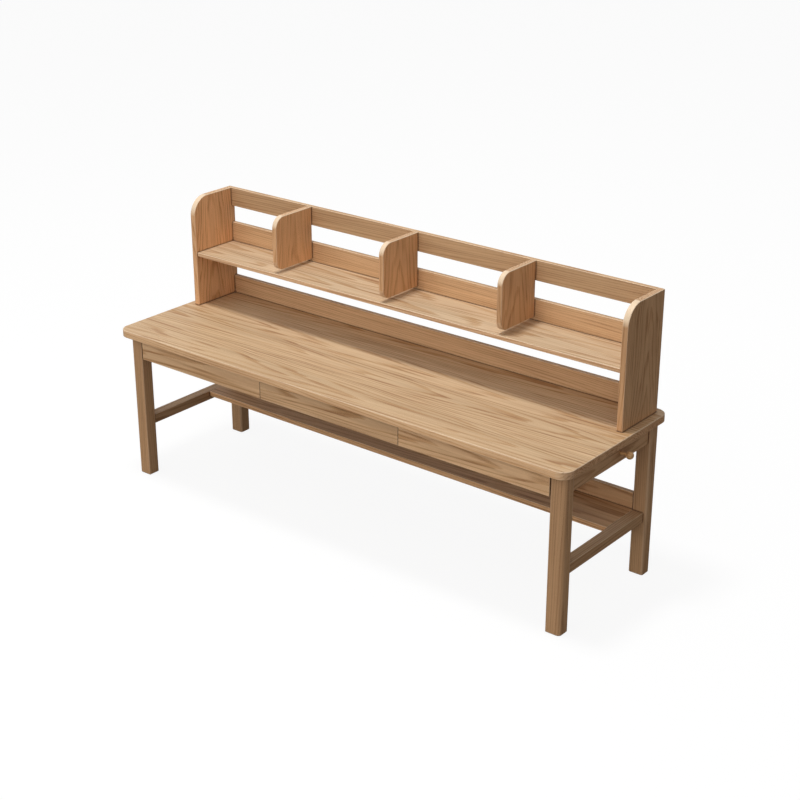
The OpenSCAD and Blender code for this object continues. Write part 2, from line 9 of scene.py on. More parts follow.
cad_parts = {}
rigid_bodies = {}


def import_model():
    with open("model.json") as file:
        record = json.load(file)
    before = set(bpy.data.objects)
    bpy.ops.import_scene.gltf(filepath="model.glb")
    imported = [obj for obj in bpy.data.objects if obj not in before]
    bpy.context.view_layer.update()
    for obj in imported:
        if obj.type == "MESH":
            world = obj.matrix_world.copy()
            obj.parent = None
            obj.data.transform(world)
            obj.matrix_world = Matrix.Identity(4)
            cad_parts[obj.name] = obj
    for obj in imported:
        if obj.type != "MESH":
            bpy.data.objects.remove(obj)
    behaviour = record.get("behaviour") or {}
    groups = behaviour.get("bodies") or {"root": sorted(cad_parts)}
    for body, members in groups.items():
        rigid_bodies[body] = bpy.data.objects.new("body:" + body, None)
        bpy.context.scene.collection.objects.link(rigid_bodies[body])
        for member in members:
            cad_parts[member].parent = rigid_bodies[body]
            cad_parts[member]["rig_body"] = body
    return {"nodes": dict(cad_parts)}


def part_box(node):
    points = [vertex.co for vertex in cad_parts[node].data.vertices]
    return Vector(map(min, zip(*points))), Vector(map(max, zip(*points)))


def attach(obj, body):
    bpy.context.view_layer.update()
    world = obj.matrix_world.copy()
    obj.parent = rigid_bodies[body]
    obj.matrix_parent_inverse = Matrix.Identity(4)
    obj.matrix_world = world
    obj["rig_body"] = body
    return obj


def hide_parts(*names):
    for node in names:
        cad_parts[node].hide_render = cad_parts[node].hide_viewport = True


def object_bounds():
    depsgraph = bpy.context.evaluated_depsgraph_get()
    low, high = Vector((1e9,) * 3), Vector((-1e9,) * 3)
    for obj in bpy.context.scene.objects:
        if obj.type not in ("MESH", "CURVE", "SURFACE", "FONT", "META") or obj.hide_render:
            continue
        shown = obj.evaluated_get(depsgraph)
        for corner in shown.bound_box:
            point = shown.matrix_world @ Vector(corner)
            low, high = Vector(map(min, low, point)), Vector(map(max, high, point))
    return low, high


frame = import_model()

cad_low, cad_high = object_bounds()
MM = 0.001
X, Y, Z = 0, 1, 2
rng = random.Random(41)


# ---------------------------------------------------------------- node helpers

def new_material(name):
    """An empty node material and its tree, with the output node in place."""
    material = bpy.data.materials.new(name)
    material.use_nodes = True
    tree = material.node_tree
    tree.nodes.clear()
    return material, tree, tree.nodes.new("ShaderNodeOutputMaterial")


def feed(tree, socket, value):
    """Puts a value into a socket, or links another socket to it."""
    if isinstance(value, bpy.types.NodeSocket):
        tree.links.new(value, socket)
    elif value is not None:
        socket.default_value = value


def calc(tree, operation, a, b=None, c=None):
    """A math node's result."""
    node = tree.nodes.new("ShaderNodeMath")
    node.operation = operation
    for socket, value in zip(node.inputs, (a, b, c)):
        feed(tree, socket, value)
    return node.outputs[0]


def times(tree, a, b):
    """a times b."""
    return calc(tree, "MULTIPLY", a, b)


def plus(tree, a, b):
    """a plus b."""
    return calc(tree, "ADD", a, b)


def minus(tree, a, b):
    """a minus b."""
    return calc(tree, "SUBTRACT", a, b)


def times_plus(tree, a, b, c):
    """a times b, plus c."""
    return calc(tree, "MULTIPLY_ADD", a, b, c)


def pack(tree, x, y, z):
    """A vector made of three values."""
    node = tree.nodes.new("ShaderNodeCombineXYZ")
    for socket, value in zip(node.inputs, (x, y, z)):
        feed(tree, socket, value)
    return node.outputs[0]


def unpack(tree, vector):
    """The three values of a vector."""
    node = tree.nodes.new("ShaderNodeSeparateXYZ")
    feed(tree, node.inputs[0], vector)
    return node.outputs


def noise(tree, vector, scale=1.0, detail=2.0, roughness=0.5):
    """A noise texture's value and colour."""
    node = tree.nodes.new("ShaderNodeTexNoise")
    feed(tree, node.inputs["Vector"], vector)
    node.inputs["Scale"].default_value = scale
    node.inputs["Detail"].default_value = detail
    node.inputs["Roughness"].default_value = roughness
    return node.outputs["Fac"], node.outputs["Color"]


def remap(tree, value, low, high, to_low=0.0, to_high=1.0):
    """A clamped change of range."""
    node = tree.nodes.new("ShaderNodeMapRange")
    for key, number in zip(("Value", "From Min", "From Max", "To Min", "To Max"),
                           (value, low, high, to_low, to_high)):
        feed(tree, node.inputs[key], number)
    return node.outputs[0]


def ramp(tree, value, stops, smooth="EASE"):
    """A grey ramp from (place, brightness) stops."""
    node = tree.nodes.new("ShaderNodeValToRGB")
    feed(tree, node.inputs[0], value)
    node.color_ramp.interpolation = smooth
    elements = node.color_ramp.elements
    while len(elements) < len(stops):
        elements.new(0.5)
    for element, (place, level) in zip(elements, stops):
        element.position = place
        element.color = (level, level, level, 1)
    return node.outputs[0]


def mix(tree, share, a, b, blend="MIX"):
    """A colour mix."""
    node = tree.nodes.new("ShaderNodeMix")
    node.data_type = "RGBA"
    node.blend_type = blend
    feed(tree, node.inputs[0], share)
    feed(tree, node.inputs[6], a)
    feed(tree, node.inputs[7], b)
    return node.outputs[2]


def attribute(tree, name):
    """A mesh attribute as a vector."""
    node = tree.nodes.new("ShaderNodeAttribute")
    node.attribute_name = name
    return node.outputs["Vector"]


def from_srgb(red, green, blue):
    """A linear colour from the usual 0 to 255 numbers."""
    def linear(channel):
        share = channel / 255
        return share / 12.92 if share <= 0.04045 else ((share + 0.055) / 1.055) ** 2.4
    return (linear(red), linear(green), linear(blue), 1)


def surface(tree, out, colour, roughness, metallic=0.0, height=None, depth=0.3 * MM, shine=0.5):
    """A principled surface with an optional bump."""
    shader = tree.nodes.new("ShaderNodeBsdfPrincipled")
    feed(tree, shader.inputs["Base Color"], colour)
    feed(tree, shader.inputs["Roughness"], roughness)
    feed(tree, shader.inputs["Metallic"], metallic)
    shader.inputs["Specular IOR Level"].default_value = shine
    if height is not None:
        bump = tree.nodes.new("ShaderNodeBump")
        bump.inputs["Strength"].default_value = 1.0
        bump.inputs["Distance"].default_value = depth
        feed(tree, bump.inputs["Height"], height)
        tree.links.new(bump.outputs[0], shader.inputs["Normal"])
    tree.links.new(shader.outputs[0], out.inputs[0])
    return shader


# ---------------------------------------------------------------- materials

WHITE = (1.0, 1.0, 1.0, 1.0)
# Pale colour for edges paled by use and by a painted highlight.
RUBBED_HIGHLIGHT_OAK = from_srgb(242, 216, 184)
# Brown painted into the corners between boards as shade.
CREASE_SHADE_BROWN = from_srgb(84, 50, 31)
RING_WIDTH = 10.5 * MM


def drawn_out(tree, spot, along, across):
    """A spot in the wood scaled apart, so that a noise looks drawn out along the grain."""
    run, side, under = spot
    return pack(tree, times(tree, run, along), times(tree, side, across), times(tree, under, across))


def plank_spot(tree):
    """The spot in the wood (along, beside and above the pith), and three chances per plank.

    The mesh attribute "wood" holds (along, across, depth) in metres, and "board" holds
    (plank width, seed, depth of the pith). Planks are told apart across the board."""
    along, across, deep = unpack(tree, attribute(tree, "wood"))
    plank, seed, pith = unpack(tree, attribute(tree, "board"))
    index = calc(tree, "FLOOR", calc(tree, "DIVIDE", across, plank))
    dice = tree.nodes.new("ShaderNodeTexWhiteNoise")
    dice.noise_dimensions = "1D"
    feed(tree, dice.inputs["W"], times_plus(tree, index, 7.31, seed))
    chance = unpack(tree, dice.outputs["Color"])
    side = minus(tree, across, times(tree, plus(tree, index, 0.5), plank))
    side = plus(tree, side, times(tree, minus(tree, chance[0], 0.5), 0.07))
    run = plus(tree, along, times_plus(tree, chance[1], 9.0, times(tree, seed, 3.7)))
    under = plus(tree, deep, times(tree, pith, times_plus(tree, chance[2], 0.8, 0.6)))
    return (run, side, under), chance


def growth_rings(tree, spot):
    """The dark late wood of rings that grow round a wandering pith."""
    run, side, under = spot
    wander, slope, wave, ripple = 0.04, 0.022, 0.022, 0.0045
    drift_side, drift_deep, _ = unpack(tree, noise(tree, drawn_out(tree, spot, 0.9, 5.0))[1])
    beside = times_plus(tree, drift_side, wander, minus(tree, side, wander / 2))
    above = times_plus(tree, drift_deep, wander, minus(tree, under, wander / 2))
    radius = calc(tree, "SQRT", plus(tree, times(tree, beside, beside), times(tree, above, above)))
    radius = times_plus(tree, run, slope, radius)
    spread = noise(tree, drawn_out(tree, spot, 0.5, 25.0), detail=1.0)[0]
    radius = times_plus(tree, spread, wave, radius)
    wobble = noise(tree, drawn_out(tree, spot, 4.0, 90.0))[0]
    radius = times_plus(tree, wobble, ripple, radius)
    phase = calc(tree, "FRACT", calc(tree, "DIVIDE", radius, RING_WIDTH))
    return ramp(tree, phase, [(0.0, 0.0), (0.5, 0.08), (0.80, 1.0), (0.92, 0.85), (1.0, 0.0)])


def painted_crease_shade(tree):
    """Painted shade: how deep a spot lies in the corner where two boards meet, for darkening it there."""
    open_sky = tree.nodes.new("ShaderNodeAmbientOcclusion")
    open_sky.samples = 8
    open_sky.inputs["Distance"].default_value = 12 * MM
    return remap(tree, open_sky.outputs["AO"], 0.50, 0.84, 0.72, 0.0)


def oak_material(name, pale, honey, brown, figure=1.0, gloss=0.46, side_light=WHITE, end_grain_and_shade=WHITE, top_light=WHITE):
    """Solid oak: rings from honey to pale, brown streaks and pores, edges paled by use and by a painted
    highlight, painted shade in the corners.

    The mesh attribute "tone" holds a piece's lightness with its painted light and shade, the strength of
    its rings, and how strongly its edges are paled by use and by a painted highlight.
    Upright faces, faces across the desk and level faces get their own tints: painted light and shade for
    how each is turned, with darker end grain across the desk."""
    material, tree, out = new_material(name)
    spot, chance = plank_spot(tree)
    paleness_and_light, strength, wear = unpack(tree, attribute(tree, "tone"))
    endwise, _, facing = unpack(tree, tree.nodes.new("ShaderNodeNewGeometry").outputs["Normal"])
    upright = remap(tree, calc(tree, "ABSOLUTE", facing), 0.2, 0.6, 1.0, 0.0)
    end_share = remap(tree, calc(tree, "ABSOLUTE", endwise), 0.3, 0.8)
    edge_wear_and_highlight = times(tree, unpack(tree, attribute(tree, "edge"))[0], wear)

    ring = growth_rings(tree, spot)
    patch = noise(tree, drawn_out(tree, spot, 0.9, 14.0))[0]
    streak = noise(tree, drawn_out(tree, spot, 2.2, 85.0))[0]
    pore = noise(tree, drawn_out(tree, spot, 45.0, 1300.0), detail=1.0)[0]
    ring_share = times(tree, ring, remap(tree, patch, 0.32, 0.68, 0.45 * figure, figure))
    ring_share = times(tree, ring_share, strength)
    streak_share = times(tree, remap(tree, streak, 0.38, 0.70, 0.0, 0.9), strength)
    streak_share = times(tree, streak_share, times_plus(tree, ring, 0.55, 0.30 * figure))
    pore_mask = times(tree, remap(tree, pore, 0.56, 0.70), times_plus(tree, ring, 0.6, 0.4))

    colour = mix(tree, ring_share, pale, honey)
    colour = mix(tree, streak_share, colour, brown)
    colour = mix(tree, times(tree, pore_mask, 0.30), colour, brown)

    # A piece's painted light and shade acts fully on its upright faces and less on its level ones.
    paleness_and_light = times_plus(tree, minus(tree, paleness_and_light, 1.0), times_plus(tree, upright, 0.6, 0.4), 1.0)
    tone = times(tree, remap(tree, chance[1], 0.0, 1.0, 0.96, 1.05), paleness_and_light)
    tone = times(tree, tone, remap(tree, patch, 0.30, 0.70, 1.06, 0.93))
    colour = mix(tree, 1.0, colour, pack(tree, tone, tone, tone), "MULTIPLY")
    # Painted light and shade: each way a face is turned gets its own tint.
    tint = mix(tree, end_share, side_light, end_grain_and_shade)
    tint = mix(tree, upright, top_light, tint)
    colour = mix(tree, 1.0, colour, tint, "MULTIPLY")
    # Eased edges are painted paler, most where they face up: partly use, partly a painted highlight.
    rubbed_highlight = times(tree, edge_wear_and_highlight, remap(tree, facing, 0.05, 0.35, 0.3, 0.9))
    colour = mix(tree, rubbed_highlight, colour, RUBBED_HIGHLIGHT_OAK)
    # Painted shade: the corners where boards meet are darkened.
    colour = mix(tree, painted_crease_shade(tree), colour, CREASE_SHADE_BROWN)

    rough = times_plus(tree, pore_mask, 0.18, gloss)
    rough = times_plus(tree, streak, 0.10, rough)
    rough = times_plus(tree, edge_wear_and_highlight, -0.12, rough)
    height = minus(tree, times(tree, streak, 0.5), times_plus(tree, ring, 0.25, pore_mask))
    surface(tree, out, colour, rough, height=height, depth=0.35 * MM, shine=0.35)
    return material


def zinc_material():
    """Zinc-plated steel with a fine drawn grain and cloudy crystals."""
    material, tree, out = new_material("zinc_steel")
    coords = tree.nodes.new("ShaderNodeTexCoord").outputs["Object"]
    x, y, z = unpack(tree, coords)
    fine = pack(tree, times(tree, x, 900.0), times(tree, y, 40.0), times(tree, z, 900.0))
    drawn = noise(tree, fine)[0]
    cloud = noise(tree, coords, 60.0, 3.0)[0]
    colour = mix(tree, cloud, from_srgb(176, 178, 182), from_srgb(222, 223, 225))
    rough = times_plus(tree, drawn, 0.18, 0.27)
    surface(tree, out, colour, rough, 1.0, drawn, 0.08 * MM)
    return material


def beech_material():
    """Plain beech for the dowels: fine flecks along the grain."""
    material, tree, out = new_material("beech_dowel")
    coords = tree.nodes.new("ShaderNodeTexCoord").outputs["Object"]
    x, y, z = unpack(tree, coords)
    fine = pack(tree, times(tree, x, 120.0), times(tree, y, 900.0), times(tree, z, 900.0))
    fleck = noise(tree, fine)[0]
    cloud = noise(tree, coords, 25.0, 2.0)[0]
    colour = mix(tree, fleck, from_srgb(226, 192, 152), from_srgb(196, 150, 106))
    colour = mix(tree, times(tree, cloud, 0.3), colour, from_srgb(176, 128, 86))
    surface(tree, out, colour, times_plus(tree, fleck, 0.2, 0.5), height=fleck, depth=0.2 * MM)
    return material


def felt_material():
    """Pressed felt: matted fibres, no shine."""
    material, tree, out = new_material("felt")
    coords = tree.nodes.new("ShaderNodeTexCoord").outputs["Object"]
    fibre = noise(tree, coords, 1400.0, 3.0)[0]
    cloud = noise(tree, coords, 120.0, 2.0)[0]
    colour = mix(tree, fibre, from_srgb(52, 46, 41), from_srgb(96, 86, 76))
    colour = mix(tree, times(tree, cloud, 0.3), colour, from_srgb(70, 62, 54))
    surface(tree, out, colour, 0.96, height=fibre, depth=0.6 * MM)
    return material


def tinted(red, green, blue):
    """A tint that scales a colour's channels."""
    return (red, green, blue, 1.0)


OAK_COLOURS = from_srgb(212, 167, 123), from_srgb(185, 135, 89), from_srgb(136, 86, 50)
TOP_COLOURS = from_srgb(216, 185, 146), from_srgb(197, 156, 110), from_srgb(150, 100, 62)
SHELF_COLOURS = from_srgb(214, 188, 154), from_srgb(197, 161, 119), from_srgb(152, 108, 74)
PALE_COLOURS = from_srgb(214, 176, 134), from_srgb(190, 145, 99), from_srgb(143, 93, 56)
PEG_COLOURS = from_srgb(240, 188, 126), from_srgb(222, 162, 102), from_srgb(176, 116, 66)
BOX_COLOURS = from_srgb(226, 198, 158), from_srgb(212, 178, 132), from_srgb(182, 140, 94)

# Painted light and shade in these tints: the frame's level faces paler and cooler as a painted sheen, the
# lower shelf's upright faces brighter, those of the desktop and hutch shelf warmer and brighter as
# painted light, the desktop's ends darker as end grain and painted shade.
OAK = oak_material("oak", *OAK_COLOURS, 1.15, top_light=tinted(0.97, 1.05, 1.14))
OAK_LIT_FRONT = oak_material("oak_lit_front", *OAK_COLOURS, 1.15, side_light=tinted(1.42, 1.42, 1.40))
OAK_TOP = oak_material("oak_top", *TOP_COLOURS, 1.1, side_light=tinted(1.40, 1.27, 1.18),
                       end_grain_and_shade=tinted(1.0, 0.84, 0.75))
OAK_SHELF = oak_material("oak_shelf", *SHELF_COLOURS, 1.1, side_light=tinted(1.20, 1.06, 0.98))
OAK_PALE = oak_material("oak_pale", *PALE_COLOURS, 1.1)
OAK_PEG = oak_material("turned_oak", *PEG_COLOURS, 0.8, gloss=0.36)
BOX_WOOD = oak_material("drawer_box_wood", *BOX_COLOURS, 0.7, gloss=0.55)
BEECH = beech_material()
ZINC = zinc_material()
FELT = felt_material()


# ---------------------------------------------------------------- mesh helpers

def rounded(corners, steps=8):
    """An outline from (a, b, radius) corners, each rounded with an arc."""
    points = []
    count = len(corners)
    for i, (a, b, radius) in enumerate(corners):
        here = Vector((a, b))
        if radius <= 0:
            points.append(here)
            continue
        back = (Vector(corners[i - 1][:2]) - here).normalized()
        ahead = (Vector(corners[(i + 1) % count][:2]) - here).normalized()
        half = back.angle(ahead) / 2
        centre = here + (back + ahead).normalized() * (radius / math.sin(half))
        start = here + back * (radius / math.tan(half)) - centre
        end = here + ahead * (radius / math.tan(half)) - centre
        sweep = start.angle_signed(end)
        for k in range(steps + 1):
            turned = start.copy()
            turned.rotate(Matrix.Rotation(-sweep * k / steps, 2))
            points.append(centre + turned)
    return points


def place(axis, along, a, b):
    """A point from its place along the axis and its two outline coordinates."""
    point = [0.0, 0.0, 0.0]
    point[axis] = along
    point[(axis + 1) % 3] = a
    point[(axis + 2) % 3] = b
    return point


def ease_edges(mesh, faces, ease, steps):
    """Rounds the sharp edges; ease is a width, or gives one for an edge's middle point."""
    widths = {}
    for edge in sorted({e for f in faces for e in f.edges}, key=lambda e: e.index):
        if edge.calc_face_angle(0) > math.radians(26):
            middle = (edge.verts[0].co + edge.verts[1].co) / 2
            width = ease(middle) if callable(ease) else ease
            if width > 0:
                widths.setdefault(width, []).append(edge)
    for width, edges in widths.items():
        bmesh.ops.bevel(mesh, geom=edges, offset=width, offset_type="OFFSET", segments=steps,
                        profile=0.5, affect="EDGES", clamp_overlap=True)


def prism(mesh, axis, low, high, outline, ease, steps=3):
    """Adds an outline pushed along an axis, with its sharp edges eased."""
    first = [mesh.verts.new(place(axis, low, *p)) for p in outline]
    last = [mesh.verts.new(place(axis, high, *p)) for p in outline]
    faces = [mesh.faces.new(first[::-1]), mesh.faces.new(last)]
    for i in range(len(outline)):
        j = (i + 1) % len(outline)
        faces.append(mesh.faces.new((first[i], first[j], last[j], last[i])))
    mesh.normal_update()
    mesh.edges.index_update()
    ease_edges(mesh, faces, ease, steps)


def box_outline(low, high, axis):
    """The rectangle that a box shows along an axis."""
    a, b = (axis + 1) % 3, (axis + 2) % 3
    return [Vector((low[a], low[b])), Vector((high[a], low[b])),
            Vector((high[a], high[b])), Vector((low[a], high[b]))]


def slab(mesh, low, high, ease, steps=3):
    """Adds a box with eased edges."""
    prism(mesh, X, low[X], high[X], box_outline(low, high, X), ease, steps)


def write_attribute(data, name, kind, values):
    """Stores one value or vector for each vertex."""
    layer = data.attributes.new(name, kind, "POINT")
    layer.data.foreach_set("vector" if kind == "FLOAT_VECTOR" else "value", values)


def grain(piece, along, across, plank=None, pith=0.075, pace=1.0, tone=1.0, figure=1.0, wear=1.0):
    """Lays wood coordinates on a piece: grain runs along one axis, planks lie across another.

    A larger pace makes shorter figures; tone is how pale this board is, partly its own colour and partly
    painted light and shade, figure how strongly its rings show, and wear how strongly its eased edges are
    smoothed and paled by use, with a painted highlight."""
    data = piece.data
    deep = 3 - along - across
    points = [v.co for v in data.vertices]
    low = [min(p[i] for p in points) for i in range(3)]
    high = [max(p[i] for p in points) for i in range(3)]
    width = high[across] - low[across]
    count = max(1, round(width / plank)) if plank else 1
    shift = rng.random()
    seed = rng.random() * 20
    heart = pith * (1 if rng.random() < 0.5 else -1)
    middle = (low[deep] + high[deep]) / 2
    margin = 0.0005
    wood, board = [], []
    for p in points:
        wood += [p[along] * pace + shift, p[across] - low[across] + margin, p[deep] - middle]
        board += [(width + 2 * margin) / count, seed, heart]
    write_attribute(data, "wood", "FLOAT_VECTOR", wood)
    write_attribute(data, "board", "FLOAT_VECTOR", board)
    write_attribute(data, "tone", "FLOAT_VECTOR", [tone, figure, wear] * len(points))


def mark_edges(data):
    """Marks the vertices inside the eased edges, which touch no large and wide face."""
    large, wide = 0.0012, 3 * MM
    flat = [False] * len(data.vertices)
    for face in data.polygons:
        corners = [data.vertices[v].co for v in face.vertices]
        longest = max((a - b).length for a, b in zip(corners, corners[1:] + corners[:1]))
        if face.area > large and face.area / longest > wide:
            for v in face.vertices:
                flat[v] = True
    marks = [n for on_face in flat for n in (0.0 if on_face else 1.0, 0.0, 0.0)]
    write_attribute(data, "edge", "FLOAT_VECTOR", marks)


def finish_piece(name, mesh, material, body, nodes):
    """Turns a mesh under construction into a piece that rides on a body."""
    bmesh.ops.recalc_face_normals(mesh, faces=mesh.faces)
    data = bpy.data.meshes.new(name)
    mesh.to_mesh(data)
    mesh.free()
    piece = bpy.data.objects.new(name, data)
    bpy.context.scene.collection.objects.link(piece)
    for face in data.polygons:
        face.use_smooth = True
    data.materials.append(material)
    mark_edges(data)
    even = piece.modifiers.new("even_normals", "WEIGHTED_NORMAL")
    even.keep_sharp = True
    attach(piece, body)
    if nodes:
        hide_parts(*nodes)
    return piece


def node_body(node):
    """The body that a CAD node rides on."""
    return frame["nodes"][node]["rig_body"]


def board(node, along, across, ease, low=None, high=None, stubs=(), plank=None, material=None,
          slot="oak", steps=3, pith=0.075, tone=1.0, figure=1.0, wear=1.0):
    """A straight board that stands for a CAD node; stubs are its tenons and tongues."""
    box_low, box_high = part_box(node)
    mesh = bmesh.new()
    slab(mesh, low or box_low, high or box_high, ease, steps)
    for stub_low, stub_high in stubs:
        slab(mesh, stub_low, stub_high, 0.8 * MM, 1)
    piece = finish_piece("board_" + node, mesh, material or OAK, node_body(node), [node])
    grain(piece, along, across, plank, pith, tone=tone, figure=figure, wear=wear)
    return piece


def corner(base, **changes):
    """A copy of a corner with some of its coordinates changed, named x, y or z."""
    point = Vector(base)
    for name, value in changes.items():
        point["xyz".index(name)] = value
    return point


# ---------------------------------------------------------------- desk

def build_desktop():
    """The desktop: rounded corners, a softer edge on top than below."""
    low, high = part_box("desktop")
    radius, soft, crisp = 55 * MM, 4.5 * MM, 2 * MM
    mesh = bmesh.new()
    outline = rounded([(low.x, low.y, radius), (high.x, low.y, radius),
                       (high.x, high.y, radius), (low.x, high.y, radius)], 14)
    half_way = (low.z + high.z) / 2
    prism(mesh, Z, low.z, high.z, outline, lambda spot: soft if spot.z > half_way else crisp, 4)
    piece = finish_piece("board_desktop", mesh, OAK_TOP, node_body("desktop"), ["desktop"])
    grain(piece, X, Y, 0.19, 0.085, wear=0.5)


def build_leg(node):
    """A post whose edge under the desktop's corner is rounder, and the one by a drawer sharper."""
    low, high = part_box(node)
    reach_x = max(-low.x, high.x)
    reach_y = max(-low.y, high.y)
    rounder, sharper, usual = 18 * MM, 4 * MM, 10 * MM
    corners = []
    for x, y in ((low.x, low.y), (high.x, low.y), (high.x, high.y), (low.x, high.y)):
        outside = abs(x) == reach_x
        at_end = abs(y) == reach_y
        radius = usual
        if outside and at_end:
            radius = rounder
        elif at_end and y < 0:
            radius = sharper
        corners.append((x, y, radius))
    mesh = bmesh.new()
    prism(mesh, Z, low.z, high.z, rounded(corners), 2.5 * MM)
    piece = finish_piece("post_" + node, mesh, OAK, node_body(node), [node])
    # The rear legs are coloured darker as painted shade under the desk.
    grain(piece, Z, Y, None, 0.03, tone=1.0 if low.y < 0 else 0.86, figure=0.6, wear=0.6)


def tenoned(node, axis, low_face, high_face, across, ease, shoulder=8 * MM, thick=10 * MM, **options):
    """A rail between two faces, with a tenon at each end out to the CAD node's own length."""
    low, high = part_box(node)
    body_low, body_high = Vector(low), Vector(high)
    body_low[axis], body_high[axis] = low_face, high_face
    thin = 3 - axis - across
    middle = (low[thin] + high[thin]) / 2
    stubs = []
    for start, end in ((low[axis], low_face + MM), (high_face - MM, high[axis])):
        stub_low, stub_high = Vector(low), Vector(high)
        stub_low[axis], stub_high[axis] = start, end
        stub_low[across] += shoulder
        stub_high[across] -= shoulder
        stub_low[thin], stub_high[thin] = middle - thick / 2, middle + thick / 2
        stubs.append((stub_low, stub_high))
    return board(node, axis, across, ease, body_low, body_high, stubs, **options)


def build_frame():
    """The legs and everything that joins them."""
    for node in ("leg_front_left", "leg_front_right", "leg_rear_left", "leg_rear_right"):
        build_leg(node)
    front_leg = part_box("leg_front_right")
    rear_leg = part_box("leg_rear_right")
    front, rear = front_leg[1].y, rear_leg[0].y
    for side in ("left", "right"):
        # Painted light and shade: the side aprons are coloured paler and the low side stretchers darker.
        tenoned("side_apron_" + side, Y, front, rear, Z, 1.5 * MM, tone=1.08, figure=0.7, wear=0.5)
        tenoned("side_stretcher_" + side, Y, front, rear, Z, 2.5 * MM, thick=20 * MM, tone=0.9,
                figure=0.7, wear=0.4)
    inner = rear_leg[0].x
    tenoned("rear_apron", X, -inner, inner, Z, 2 * MM)
    tenoned("lower_back_board", X, -inner, inner, Z, 1.5 * MM)
    tenoned("front_rail", X, -inner, inner, Y, 2 * MM)
    for name in ("left", "mid_left", "mid_right", "right"):
        build_bearer("drawer_bearer_" + name)
    build_lower_shelf()


def build_bearer(node):
    """A bearer under the desktop, with a notch over the front rail."""
    low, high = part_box(node)
    rail_low, rail_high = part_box("front_rail")
    outline = [Vector(p) for p in ((low.y, low.z), (high.y, low.z), (high.y, high.z),
                                   (rail_high.y, high.z), (rail_high.y, rail_low.z), (low.y, rail_low.z))]
    mesh = bmesh.new()
    prism(mesh, X, low.x, high.x, outline, 1.5 * MM, 2)
    piece = finish_piece("board_" + node, mesh, OAK, node_body(node), [node])
    grain(piece, Y, Z)


def build_lower_shelf():
    """The shelf between the stretchers, narrowed where it passes between the rear legs."""
    low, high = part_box("lower_shelf")
    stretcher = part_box("side_stretcher_right")[0].x
    leg_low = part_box("leg_rear_right")[0]
    right_half = [(stretcher, low.y), (stretcher, leg_low.y), (leg_low.x, leg_low.y), (leg_low.x, high.y)]
    left_half = [(-x, y) for x, y in reversed(right_half)]
    outline = [Vector(p) for p in left_half[-1:] + right_half + left_half[:-1]]
    mesh = bmesh.new()
    prism(mesh, Z, low.z, high.z, outline, 1.5 * MM)
    cheek, shoulder = 8.5 * MM, 10 * MM
    for side in (-1, 1):
        start, end = sorted((side * (stretcher - MM), side * high.x))
        tongue_low = (start, low.y + shoulder, low.z + cheek)
        tongue_high = (end, leg_low.y - shoulder, high.z - cheek)
        slab(mesh, tongue_low, tongue_high, 0.8 * MM, 1)
    body = node_body("lower_shelf")
    # This oak's upright faces are brightened as painted light.
    piece = finish_piece("board_lower_shelf", mesh, OAK_LIT_FRONT, body, ["lower_shelf"])
    grain(piece, X, Y, 0.115)


def lathe(mesh, axis_point, direction, profile, steps=40):
    """Adds a turned shape; the profile is (distance along the axis, radius)."""
    direction = Vector(direction).normalized()
    across = direction.orthogonal().normalized()
    third = direction.cross(across)
    rings = []
    for along, radius in profile:
        centre = Vector(axis_point) + direction * along
        if radius < 1e-6:
            rings.append([mesh.verts.new(centre)])
            continue
        rings.append([mesh.verts.new(centre + (across * math.cos(t) + third * math.sin(t)) * radius)
                      for t in (2 * math.pi * k / steps for k in range(steps))])
    for ring, following in zip(rings, rings[1:]):
        for k in range(steps):
            j = (k + 1) % steps
            corners = []
            for vert in (ring[k % len(ring)], ring[j % len(ring)],
                         following[j % len(following)], following[k % len(following)]):
                if vert not in corners:
                    corners.append(vert)
            mesh.faces.new(corners)


def peg_profile(length, into):
    """Outline of a ball-headed peg, from the end of its tenon to the flattened tip."""
    neck, ball, tenon = 7 * MM, 17 * MM, 8 * MM
    tip = 14 * MM
    centre = length - tip
    points = [(-into, 0.0), (-into, tenon - MM), (-into + MM, tenon), (-0.5 * MM, tenon)]
    points += [(0.0, neck + 0.6 * MM), (2 * MM, neck)]
    start = math.asin((neck + 0.4 * MM) / ball)
    end = math.acos(tip / ball)
    steps = 16
    points.append((centre - ball * math.cos(start) - 2 * MM, neck))
    for k in range(steps + 1):
        angle = start + (math.pi - start - end) * k / steps
        points.append((centre - ball * math.cos(angle), ball * math.sin(angle)))
    flat = ball * math.sin(end)
    points += [(length - 0.2 * MM, flat - 1.2 * MM), (length, flat - 3 * MM), (length, 0.0)]
    return points


def build_pegs():
    """The two turned pegs on the side aprons."""
    for side, sign in (("left", -1), ("right", 1)):
        node = "hook_peg_" + side
        low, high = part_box(node)
        face = max(abs(end.x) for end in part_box("side_apron_" + side))
        outer = max(abs(low.x), abs(high.x))
        inner = min(abs(low.x), abs(high.x))
        mesh = bmesh.new()
        lathe(mesh, (sign * face, (low.y + high.y) / 2, (low.z + high.z) / 2), (sign, 0, 0),
              peg_profile(outer - face, face - inner))
        piece = finish_piece("turned_" + node, mesh, OAK_PEG, node_body(node), [node])
        grain(piece, X, Y, None, 0.03, wear=0.1)


def build_glides():
    """A round felt pad with a nail under each leg."""
    low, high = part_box("foot_glides")
    radius, thick, nail, tall = 20 * MM, 3 * MM, 2 * MM, high.z - low.z
    pad = [(0, 0), (0, radius - MM), (0.3 * MM, radius - 0.3 * MM), (MM, radius),
           (thick - 0.5 * MM, radius), (thick, radius - 0.5 * MM)]
    spike = [(thick, nail), (tall - MM, nail), (tall, 0)]
    mesh = bmesh.new()
    for foot in ("leg_front_left", "leg_front_right", "leg_rear_left", "leg_rear_right"):
        leg_low, leg_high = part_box(foot)
        centre = ((leg_low.x + leg_high.x) / 2, (leg_low.y + leg_high.y) / 2, low.z)
        lathe(mesh, centre, (0, 0, 1), pad + spike)
    finish_piece("felt_glides", mesh, FELT, node_body("foot_glides"), ["foot_glides"])


